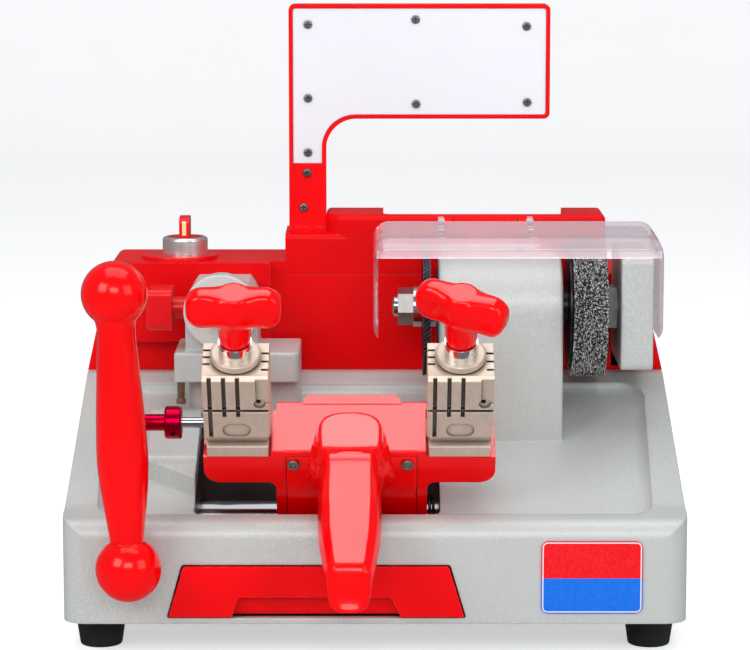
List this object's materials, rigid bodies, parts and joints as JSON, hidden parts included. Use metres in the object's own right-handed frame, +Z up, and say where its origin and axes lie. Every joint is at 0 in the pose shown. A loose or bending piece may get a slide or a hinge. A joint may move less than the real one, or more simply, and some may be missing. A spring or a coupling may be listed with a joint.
{
  "type": "key duplicating machine",
  "caption": "Benchtop key duplicating machine with a tilting carriage, paired clamping jaws, cutter and brush spindle, tracer, clear guard and chip drawer.",
  "frame": {"origin": "centre of the machine's overall footprint, on the bench", "axes": "+X to the operator's right, +Y from the operator to the back of the machine, +Z up"},
  "size_m": [0.341, 0.3705, 0.347],
  "materials": {
    "hammertone": "hammertone paint, fine orange peel",
    "zinc_plate": "zinc plated sheet",
    "foot_rubber": "matt",
    "dark_screw": "black oxide",
    "plate_print": "printed, red above blue",
    "red_paint": "gloss paint",
    "black_plastic": "fine texture",
    "white_panel": "translucent",
    "circuit_board": "white solder mask",
    "red_plastic": "moulded",
    "brushed_bezel": "turned",
    "motor_paint": "satin",
    "polished_steel": "ground and polished",
    "machined_aluminium": "machined",
    "belt_rubber": "ribbed",
    "cutter_steel": "ground tool steel",
    "zinc_nut": "zinc plated",
    "bristle": "dense bristle, black and white",
    "black_steel": "black oxide",
    "clear_acrylic": "clear, faint pink edge",
    "brass_screw": "satin",
    "bronze_bush": "sintered bronze",
    "red_gloss": "high gloss",
    "jaw_nickel": "satin champagne nickel",
    "chrome": "bright",
    "spring_steel": "drawn wire, black",
    "red_anodised": "red anodised"
  },
  "bodies": {
    "base": {"base_casting": "hammertone", "bottom_plate": "zinc_plate", "rubber_feet": "foot_rubber", "foot_screws": "dark_screw", "nameplate": "plate_print", "rear_hood": "red_paint", "hood_screws": "dark_screw", "power_inlet": "black_plastic", "sign_frame": "red_paint", "sign_panel": "white_panel", "light_board": "circuit_board", "sign_screws": "dark_screw", "selector_legend": "red_plastic", "selector_bezel": "brushed_bezel", "motor_body": "motor_paint", "motor_bracket": "zinc_plate", "drive_belt": "belt_rubber", "belt_cover": "hammertone", "spindle_bearings": "polished_steel", "guard_pins": "polished_steel", "tracer_bracket": "hammertone", "tracer_stop_screw": "brass_screw", "rod_bushes": "bronze_bush", "lever_bushes": "bronze_bush"},
    "lever": {"ball_lever": "red_gloss", "lever_shaft": "polished_steel", "lever_pinion": "black_steel"},
    "slider": {"carriage_rod": "polished_steel", "rack_bar": "black_steel", "carriage_spring": "spring_steel"},
    "carriage": {"carriage_body": "red_paint", "paddle_lever": "red_gloss", "paddle_screws": "zinc_nut", "left_lower_jaw": "jaw_nickel", "right_lower_jaw": "jaw_nickel", "jaw_springs": "spring_steel"},
    "left_jaw": {"left_upper_jaw": "jaw_nickel"},
    "right_jaw": {"right_upper_jaw": "jaw_nickel"},
    "left_knob": {"left_clamp_stud": "chrome", "left_clamp_knob": "red_gloss"},
    "right_knob": {"right_clamp_stud": "chrome", "right_clamp_knob": "red_gloss"},
    "lock": {"lock_rod": "polished_steel", "lock_knob": "red_anodised"},
    "drawer": {"chip_drawer": "red_paint"},
    "spindle": {"spindle_shaft": "polished_steel", "spindle_pulley": "machined_aluminium", "cutter": "cutter_steel", "cutter_flange": "polished_steel", "cutter_nut": "zinc_nut", "bristle_brush": "bristle", "brush_flange": "black_steel", "brush_nut": "zinc_nut"},
    "motor": {"motor_shaft": "polished_steel", "motor_pulley": "machined_aluminium"},
    "guard": {"clear_guard": "clear_acrylic"},
    "selector": {"selector_handle": "red_plastic"},
    "dial": {"tracer_dial": "machined_aluminium"},
    "point": {"tracer_point": "cutter_steel"},
    "tracer_lock": {"tracer_lock_knob": "red_plastic"}
  },
  "joints": [
    {"name": "lever_swing", "type": "hinge", "parent": "base", "child": "lever", "pos_m": [-0.1317, -0.13825, 0.0556], "axis": [0, 1, 0], "range_deg": [-80, 5]},
    {"name": "rod_travel", "type": "slide", "parent": "base", "child": "slider", "axis": [1, 0, 0], "range_m": [-0.0279, 0.00174]},
    {"name": "carriage_tilt", "type": "hinge", "parent": "slider", "child": "carriage", "pos_m": [0, -0.03125, 0.061], "axis": [1, 0, 0], "range_deg": [-33, 0], "deforming": ["carriage_spring"]},
    {"name": "lock_rod_slide", "type": "slide", "parent": "carriage", "child": "lock", "axis": [-1, 0, 0], "range_m": [0, 0.008]},
    {"name": "drawer_slide", "type": "slide", "parent": "base", "child": "drawer", "axis": [0, -1, 0], "range_m": [0, 0.04]},
    {"name": "spindle_spin", "type": "hinge", "parent": "base", "child": "spindle", "pos_m": [0, 0.01175, 0.176], "axis": [1, 0, 0], "continuous": true},
    {"name": "motor_spin", "type": "hinge", "parent": "base", "child": "motor", "pos_m": [0, 0.11975, 0.138], "axis": [1, 0, 0], "continuous": true},
    {"name": "guard_lift", "type": "hinge", "parent": "base", "child": "guard", "pos_m": [0, 0.04975, 0.2205], "axis": [-1, 0, 0], "range_deg": [0, 70]},
    {"name": "selector_turn", "type": "hinge", "parent": "base", "child": "selector", "pos_m": [-0.113, 0.07075, 0.205], "axis": [0, 0, 1], "range_deg": [-45, 45]},
    {"name": "dial_turn", "type": "hinge", "parent": "base", "child": "dial", "pos_m": [-0.088, -0.00825, 0.176], "axis": [0, 1, 0], "range_deg": [-180, 180]},
    {"name": "point_slide", "type": "slide", "parent": "base", "child": "point", "axis": [0, -1, 0], "range_m": [-0.0005, 0.0005]},
    {"name": "tracer_lock_turn", "type": "hinge", "parent": "base", "child": "tracer_lock", "pos_m": [-0.12, 0.01375, 0.175], "axis": [1, 0, 0], "range_deg": [0, 90]},
    {"name": "left_jaw_open", "type": "slide", "parent": "carriage", "child": "left_jaw", "axis": [0, -0.5446, 0.8387], "range_m": [0, 0.0015], "deforming": ["jaw_springs"]},
    {"name": "left_knob_turn", "type": "hinge", "parent": "left_jaw", "child": "left_knob", "pos_m": [-0.0745, -0.13223, 0.1862], "axis": [0, -0.5446, 0.8387], "range_deg": [0, 360]},
    {"name": "right_jaw_open", "type": "slide", "parent": "carriage", "child": "right_jaw", "axis": [0, -0.5446, 0.8387], "range_m": [0, 0.0015], "deforming": ["jaw_springs"]},
    {"name": "right_knob_turn", "type": "hinge", "parent": "right_jaw", "child": "right_knob", "pos_m": [0.0459, -0.13223, 0.1862], "axis": [0, -0.5446, 0.8387], "range_deg": [0, 360]}
  ],
  "couplings": [
    {"joint": "lever_swing", "follows": "rod_travel", "rad_per_m": 50},
    {"joint": "motor_spin", "follows": "spindle_spin", "ratio": 1.2},
    {"joint": "dial_turn", "follows": "point_slide", "rad_per_m": 6283.2},
    {"joint": "left_knob_turn", "follows": "left_jaw_open", "rad_per_m": 4188.8},
    {"joint": "right_knob_turn", "follows": "right_jaw_open", "rad_per_m": 4188.8}
  ]
}
